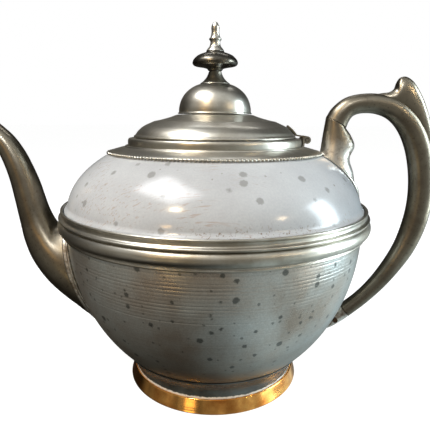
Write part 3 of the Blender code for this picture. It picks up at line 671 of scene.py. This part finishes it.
def seated(rings, gap, count):
    """The same limb, with each lengthwise line starting where it comes out of the body grown by the gap, and
    shared out again in `count` steps from there to the tip."""
    reach = np.hypot(rings[..., 0], rings[..., 1]) - body_radius(rings[..., 2]) - gap
    last_in = len(reach) - 1 - np.argmax(reach[::-1] < 0, axis=0)
    last_in = np.minimum(last_in, len(reach) - 2)
    line = np.arange(reach.shape[1])
    here, there = reach[last_in, line], reach[last_in + 1, line]
    start = last_in + here / (here - there)
    where = start + (len(reach) - 1 - start) * np.linspace(0, 1, count)[:, None]
    low = np.minimum(where.astype(int), len(reach) - 2)
    share = (where - low)[..., None]
    return rings[low, line] * (1 - share) + rings[low + 1, line] * share


LIP_ROUND = 0.8
spout_outer = seated(oval_rings(SPOUT_STATIONS, per_span=30), GAP, count=170)
spout_inner = seated(oval_rings(SPOUT_STATIONS, per_span=30, grow=-SPOUT_WALL), GAP, count=60)
ahead = spout_outer[-1].mean(axis=0) - spout_outer[-4].mean(axis=0)
ahead /= np.linalg.norm(ahead)
lip_turn = np.linspace(0, np.pi, 9)[1:-1, None, None]
lip_middle, lip_half = (spout_outer[-1] + spout_inner[-1]) / 2, (spout_outer[-1] - spout_inner[-1]) / 2
spout_lip = lip_middle + lip_half * np.cos(lip_turn) + ahead * LIP_ROUND * np.sin(lip_turn)
spout = skin("spout_casting", np.concatenate([spout_outer, spout_lip, spout_inner[::-1]]), closed=True)

# Cast white metal: the same tin alloy with a brown patina that is lighter in patches 26 mm across, freckled
# every 1.4 mm and faintly dimpled every 4 mm.
cast_metal, tree, shader, place = finish("white_metal_cast")
patina = patches(tree, place, 38.0, 6.0, 0.6, 0.36, 0.66)
ground = add(tree, "MixRGB", {"Fac": patina, "Color1": linear("8E8778"), "Color2": linear("625B4E")})["Color"]
freckle = add(tree, "TexNoise", {"Vector": place, "Scale": 700.0, "Detail": 3.0})["Fac"]
freckle = add(tree, "MapRange", {"Value": freckle, "From Min": 0.60, "From Max": 0.70,
                                "To Max": 0.45})["Result"]
ground = add(tree, "MixRGB", {"Fac": freckle, "Color1": ground, "Color2": linear("4A4238")})["Color"]
tree.links.new(ground, shader.inputs["Base Color"])
dull = add(tree, "MapRange", {"Value": patina, "To Min": 0.30, "To Max": 0.40})["Result"]
tree.links.new(dull, shader.inputs["Roughness"])
dimple = add(tree, "TexNoise", {"Vector": place, "Scale": 240.0, "Detail": 2.0})["Fac"]
bump = add(tree, "Bump", {"Height": dimple, "Strength": 0.04, "Distance": 0.0004})["Normal"]
tree.links.new(bump, shader.inputs["Normal"])
shader.inputs["Metallic"].default_value = 1.0
spout.data.materials.append(cast_metal)
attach(spout, "pot")
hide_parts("spout")

# White metal kept bright by handling, brown in pits 9 mm apart, and browned again above the finger lobe.
bright_metal, tree, shader, place = finish("white_metal_handled")
tarnish = patches(tree, place, 110.0, 6.0, 0.7, 0.46, 0.62)
bright, pitted = linear("CFCCC4"), linear("74685A")
ground = add(tree, "MixRGB", {"Fac": tarnish, "Color1": bright, "Color2": pitted})["Color"]
height = add(tree, "SeparateXYZ", {0: place})["Z"]
above_lobe = {"Value": height, "From Min": 0.140, "From Max": 0.154}
browned = add(tree, "MapRange", above_lobe, **EASED_RAMP)["Result"]
ground = add(tree, "MixRGB", {"Fac": browned, "Color1": ground, "Color2": linear("7E7667")})["Color"]
tree.links.new(ground, shader.inputs["Base Color"])
dull = add(tree, "MapRange", {"Value": tarnish, "To Min": 0.36, "To Max": 0.50})["Result"]
tree.links.new(dull, shader.inputs["Roughness"])
bump = add(tree, "Bump", {"Height": tarnish, "Strength": 0.05, "Distance": 0.0003})["Normal"]
tree.links.new(bump, shader.inputs["Normal"])
shader.inputs["Metallic"].default_value = 1.0

# The cuff round the root has two half-round ridges with a groove between, and it is swept along the joint.
CUFF_PROFILE = [
    # outset from the spout, height over the belly
    (0.3, 0.3), (1.0, 0.3), (1.1, 1.5), (3.0, 1.5), (3.7, 1.9), (3.7, 2.5), (3.2, 2.9), (2.7, 3.1),
    (2.6, 3.5), (2.8, 4.0), (2.7, 4.6), (2.1, 5.1), (1.3, 5.3), (0.5, 5.5), (0.3, 5.4),
]


def cuff(stations, per_span, profile, **oval):
    """A moulding round a limb's root: for each (outset, height) of its profile, the line on which the limb
    grown by the outset leaves the body grown by the height."""
    return np.stack([seated(oval_rings(stations, per_span, grow=out, **oval), up, 2)[0]
                     for out, up in profile])


cuff_profile = eased([(out, up, 0.35) for out, up in CUFF_PROFILE], steps=3)
root_stations = SPOUT_STATIONS[:5]
spout_flange = skin("spout_cuff", cuff(root_stations, 30, cuff_profile), closed=True)
spout_flange.data.materials.append(bright_metal)
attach(spout_flange, "pot")
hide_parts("spout_flange")


# ---------------------------------------- handle
# A loop cast in one piece with the same brown patina: an arch at the top, a thick back, and a tapering tail.
# It is let into the bright upper socket and the lug below.

HANDLE_PATH = [
    # x, z, half width, half thickness along Y
    (71.2, 158.2, 6.6, 6.2),
    (73.6, 162.8, 6.2, 6.0),
    (78.2, 167.0, 5.7, 5.9),
    (85.2, 168.9, 5.5, 5.9),
    (94.6, 168.7, 5.7, 6.1),
    (104.2, 165.6, 6.2, 6.4),
    (112.4, 158.6, 6.6, 6.7),
    (118.6, 148.8, 7.0, 6.9),
    (122.6, 137.4, 7.1, 7.0),
    (125.0, 124.0, 7.1, 7.0),
    (125.3, 110.0, 7.0, 6.9),
    (123.2, 96.0, 6.8, 6.7),
    (118.6, 82.0, 6.2, 6.3),
    (111.8, 69.6, 5.5, 5.8),
    (103.6, 58.0, 4.9, 5.3),
    (94.4, 48.0, 4.5, 5.0),
    (84.6, 39.6, 4.5, 5.0),
]
path = np.array(HANDLE_PATH)
heading = np.gradient(path[:, :2], axis=0)
heading /= np.linalg.norm(heading, axis=1)[:, None]
normal = np.stack([-heading[:, 1], heading[:, 0]], axis=1) * path[:, 2:3]
handle_rows = np.hstack([path[:, :2] + normal, path[:, :2] - normal, path[:, 3:4]])


def capped(rings, bulge=0.0):
    """The rings, with each end closed by rings that shrink to its middle. Those rings stand off the end by
    the bulge, in mm along the limb."""
    shares = np.array([0.985, 0.66, 0.33, 0.0])[:, None, None]
    ends = []
    for end, inner in ((rings[0], rings[1]), (rings[-1], rings[-2])):
        middle = end.mean(axis=0)
        out = middle - inner.mean(axis=0)
        ends.append(middle + (end - middle) * shares + out / np.linalg.norm(out) * bulge)
    return np.concatenate([ends[0][::-1], rings, ends[1]])


handle_rings = oval_rings(handle_rows, per_span=14, around=72, square=0.92)
handle = skin("handle_loop", capped(handle_rings, bulge=0.1), closed=False)
handle.data.materials.append(cast_metal)
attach(handle, "pot")
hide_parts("handle")

# The thumb rest is a leaf cast along the loop's back that curls up into a scroll, faintly hollow down it.
THUMB_STATIONS = [
    # outer edge x, z; edge sunk in the loop x, z; half width along Y
    (91.0, 173.9, 92.0, 171.0, 0.8),
    (96.4, 174.9, 96.6, 170.0, 2.4),
    (101.0, 175.6, 100.8, 168.4, 3.8),
    (103.9, 177.8, 104.2, 166.6, 4.4),
    (104.9, 181.4, 107.0, 165.0, 4.7),
    (106.4, 183.7, 109.4, 163.4, 4.8),
    (109.4, 184.2, 111.6, 161.4, 4.9),
    (113.1, 182.2, 114.0, 158.8, 4.9),
    (116.2, 178.7, 116.4, 155.4, 4.8),
    (119.6, 173.6, 118.9, 151.0, 4.7),
    (122.7, 167.6, 121.2, 146.0, 4.5),
    (125.3, 161.4, 123.2, 140.8, 4.3),
    (127.6, 154.6, 125.2, 135.6, 4.0),
    (129.5, 147.0, 126.8, 130.0, 3.5),
    (130.9, 138.6, 127.9, 124.5, 2.8),
    (131.7, 129.6, 129.0, 119.0, 1.6),
]
LEAF_AROUND = 64
HOLLOW_DEPTH, HOLLOW_WIDTH = 0.02, 0.45
leaf_rings = oval_rings(THUMB_STATIONS, per_span=12, around=LEAF_AROUND, square=0.92)
leaf_turn = 2 * np.pi * np.arange(LEAF_AROUND) / LEAF_AROUND
# The hollow is a bell curve across the outer side, as a share of the way in to each ring's middle.
hollow = HOLLOW_DEPTH * np.exp(-(np.sin(leaf_turn) / HOLLOW_WIDTH) ** 2) * (np.cos(leaf_turn) > 0)
inward = leaf_rings.mean(axis=1, keepdims=True) - leaf_rings
leaf_rings = capped(leaf_rings + hollow[None, :, None] * inward, bulge=0.3)
thumb_rest = skin("thumb_rest_leaf", leaf_rings, closed=False)
thumb_rest.data.materials.append(cast_metal)
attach(thumb_rest, "pot")
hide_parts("thumb_rest")

# A flag keeps the lamp shade's light on the cast limbs and off the enamel.
flagged = bpy.data.collections.new("lit_by_lamp_shade")
for piece in (spout, handle, thumb_rest):
    flagged.objects.link(piece)
bpy.data.objects["lamp_shade"].light_linking.receiver_collection = flagged


# ---------------------------------------- upper socket and its plate
# A bright cast socket stands on the shoulder and kicks out in a small lobe on the finger side. It rises from
# a plate with a raised double rim that is riveted through the shell.

SOCKET_ROWS = [
    # upper edge x, z; lower edge x, z; half width along Y
    (59.0, 114.0, 79.0, 102.0, 11.0),
    (61.0, 126.0, 84.0, 118.0, 11.0),
    (61.4, 134.0, 83.4, 128.0, 10.4),
    (63.0, 141.5, 80.4, 137.0, 8.8),
    (63.6, 147.6, 82.8, 144.4, 8.0),
    (64.2, 153.0, 80.4, 150.4, 7.2),
    (65.2, 160.9, 76.9, 154.9, 6.2),
]
socket_rings = seated(oval_rings(SOCKET_ROWS, per_span=30, around=72), GAP, count=70)
socket = skin("handle_socket_cup", capped(socket_rings, bulge=0.15), closed=False)
socket.data.materials.append(bright_metal)
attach(socket, "pot")
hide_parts("handle_socket")

PLATE_PROFILE = [
    # outset from the socket, height over the shoulder
    (0.3, 0.3), (4.4, 0.3), (5.0, 0.7), (5.0, 1.3), (4.4, 1.8), (3.7, 1.8), (3.3, 1.3), (2.9, 1.3),
    (2.5, 1.9), (1.7, 2.0), (1.2, 1.5), (0.3, 1.5),
]
plate_profile = eased([(out, up, 0.3) for out, up in PLATE_PROFILE], steps=3)
socket_plate = skin("socket_plate_rim", cuff(SOCKET_ROWS, 30, plate_profile, around=72), closed=True)
socket_plate.data.materials.append(white_metal)
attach(socket_plate, "pot")
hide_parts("socket_plate")


# ---------------------------------------- lower lug
# A stub cast on a leaf-shaped foot that lies on the bowl and is riveted through it. A copper pin holds the
# handle's tail in it.

LUG_ROWS = [
    # upper edge x, z; lower edge x, z; half width along Y
    (55.0, 36.0, 59.0, 27.0, 8.0),
    (63.0, 36.6, 67.4, 26.6, 7.6),
    (70.6, 36.8, 75.2, 28.2, 6.2),
    (77.2, 39.4, 82.4, 32.4, 5.4),
    (81.4, 42.8, 87.2, 35.9, 5.0),
]
lug_rings = seated(oval_rings(LUG_ROWS, per_span=24, around=64), GAP, count=50)
lug = skin("handle_lug_stub", capped(lug_rings), closed=False)
lug.data.materials.append(bright_metal)
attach(lug, "pot")
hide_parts("handle_lug")

# Copper long left alone: browned nearly black, with a warm edge where it is touched.
old_copper, tree, shader, place = finish("copper_browned")
film = patches(tree, place, 300.0, 4.0, 0.6, 0.36, 0.64)
ground = add(tree, "MixRGB", {"Fac": film, "Color1": linear("6E5642"), "Color2": linear("3E3026")})["Color"]
tree.links.new(ground, shader.inputs["Base Color"])
dull = add(tree, "MapRange", {"Value": film, "To Min": 0.32, "To Max": 0.50})["Result"]
tree.links.new(dull, shader.inputs["Roughness"])
shader.inputs["Metallic"].default_value = 1.0
for name in ("lug_pin", "lug_rivet_near", "lug_rivet_far", "socket_rivet_near", "socket_rivet_far"):
    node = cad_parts[name]
    node.material_slots[0].material = old_copper


# ---------------------------------------- lid
# Spun from white metal in two pieces: a low cover with a rolled rim and a crease, and a round crown on it. A
# sleeve inside the cover drops into the mouth ring and keeps the lid from sliding off.

lid_cover = turned("lid_cover_dish", eased([
    (46.7, 149.2, 0.2), (47.3, 149.6, 0.35), (46.9, 150.4, 0.4), (46.1, 150.8, 0.3), (44.9, 152.7, 1.4),
    (41.6, 155.6, 2.4), (35.2, 158.4, 0.5), (32.0, 159.0, 1.5), (26.0, 160.6, 3.0), (22.6, 161.9, 0.5),
    (21.6, 162.1, 0.2), (3.2, 162.6, 0.1), (3.2, 161.6, 0.1), (21.6, 161.0, 0.5), (26.0, 159.6, 3.0),
    (34.8, 157.3, 0.8), (40.6, 154.8, 2.2), (43.7, 152.3, 1.4), (45.2, 149.2, 0.2),
]))
sleeve = turned("lid_sleeve_ring", eased([
    (43.7, 140.6, 0.2), (43.7, 150.2, 0.3), (42.8, 150.8, 0.2), (42.8, 140.6, 0.2),
]))
crown = turned("lid_crown_dome", eased([
    (20.9, 162.5, 0.1), (21.5, 162.5, 0.2), (21.5, 163.1, 0.2), (20.95, 163.4, 0.2), (20.9, 165.6, 1.4),
    (19.9, 169.8, 2.0), (17.5, 173.8, 2.2), (13.9, 176.9, 2.2), (9.4, 179.1, 2.2), (3.2, 179.65, 0.1),
    (3.2, 178.75, 0.1), (9.1, 178.1, 2.0), (13.3, 175.9, 2.0), (16.5, 173.1, 2.0), (18.8, 169.4, 2.0),
    (19.8, 165.2, 1.4), (19.8, 162.5, 0.1),
]))
for piece, node in ((lid_cover, "lid_cover"), (sleeve, "lid_sleeve"), (crown, "lid_crown")):
    piece.data.materials.append(white_metal)
    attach(piece, "lid")
    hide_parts(node)


# ---------------------------------------- finial
# Three turned pieces on a stud: a trumpet skirt, a dark mushroom knob and a spire with a ledge, drawn down by
# a nut and washer inside the crown.

STUD_BORE = 2.3
skirt = turned("finial_skirt_trumpet", eased([
    (STUD_BORE, 180.0, 0.1), (8.5, 179.3, 0.1), (8.4, 179.6, 0.15), (6.9, 180.6, 1.0), (5.2, 182.4, 1.2),
    (4.1, 184.4, 1.0), (3.6, 186.0, 0.2), (STUD_BORE, 186.0, 0.1),
]), around=96)
knob = turned("finial_knob_mushroom", eased([
    (STUD_BORE, 186.3, 0.1), (3.8, 186.3, 0.3), (4.6, 187.6, 0.9), (8.6, 188.6, 2.0), (12.1, 189.1, 0.8),
    (13.1, 190.3, 0.7), (12.6, 192.2, 1.3), (10.2, 194.6, 1.8), (6.8, 195.9, 1.4), (5.4, 196.2, 0.3),
    (5.2, 196.6, 0.2), (STUD_BORE, 196.6, 0.1),
]), around=128)
spire = turned("finial_spire_point", eased([
    (STUD_BORE, 196.9, 0.1), (5.2, 196.9, 0.2), (4.4, 198.2, 0.8), (3.1, 199.6, 1.0), (2.7, 201.6, 0.8),
    (2.9, 202.5, 0.3), (3.5, 203.0, 0.25), (3.5, 203.7, 0.25), (2.8, 204.1, 0.3), (2.4, 205.4, 0.7),
    (2.1, 207.2, 0.8), (2.3, 208.8, 0.4), (2.2, 210.2, 0.4), (1.6, 211.2, 0.5), (1.2, 212.1, 0.4),
    (0.05, 212.4, 0.1), (0.05, 198.3, 0.1), (STUD_BORE, 198.3, 0.1),
]), around=72)

# White metal gone nearly black, as it is never rubbed: mottled in patches 6 mm across.
dark_metal, tree, shader, place = finish("white_metal_blackened")
film = patches(tree, place, 160.0, 5.0, 0.6, 0.36, 0.64)
ground = add(tree, "MixRGB", {"Fac": film, "Color1": linear("6F6B62"), "Color2": linear("4A463E")})["Color"]
tree.links.new(ground, shader.inputs["Base Color"])
dull = add(tree, "MapRange", {"Value": film, "To Min": 0.24, "To Max": 0.34})["Result"]
tree.links.new(dull, shader.inputs["Roughness"])
bump = add(tree, "Bump", {"Height": film, "Strength": 0.08, "Distance": 0.0002})["Normal"]
tree.links.new(bump, shader.inputs["Normal"])
shader.inputs["Metallic"].default_value = 1.0
for piece, node, metal, slot in ((skirt, "finial_skirt", white_metal, "white_metal"),
                                 (knob, "finial_knob", dark_metal, "cast_metal"),
                                 (spire, "finial_spire", white_metal, "white_metal")):
    piece.data.materials.append(metal)
    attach(piece, "lid")
    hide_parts(node)
for name in ("finial_stud", "finial_washer", "finial_nut"):
    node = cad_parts[name]
    node.material_slots[0].material = white_metal


# ---------------------------------------- lid hinge
# A leaf soldered to the back of the mouth ring and a strap on the lid share three knuckles and a steel pin.

for name in ("hinge_leaf", "hinge_pin", "lid_strap"):
    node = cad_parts[name]
    node.material_slots[0].material = bright_metal
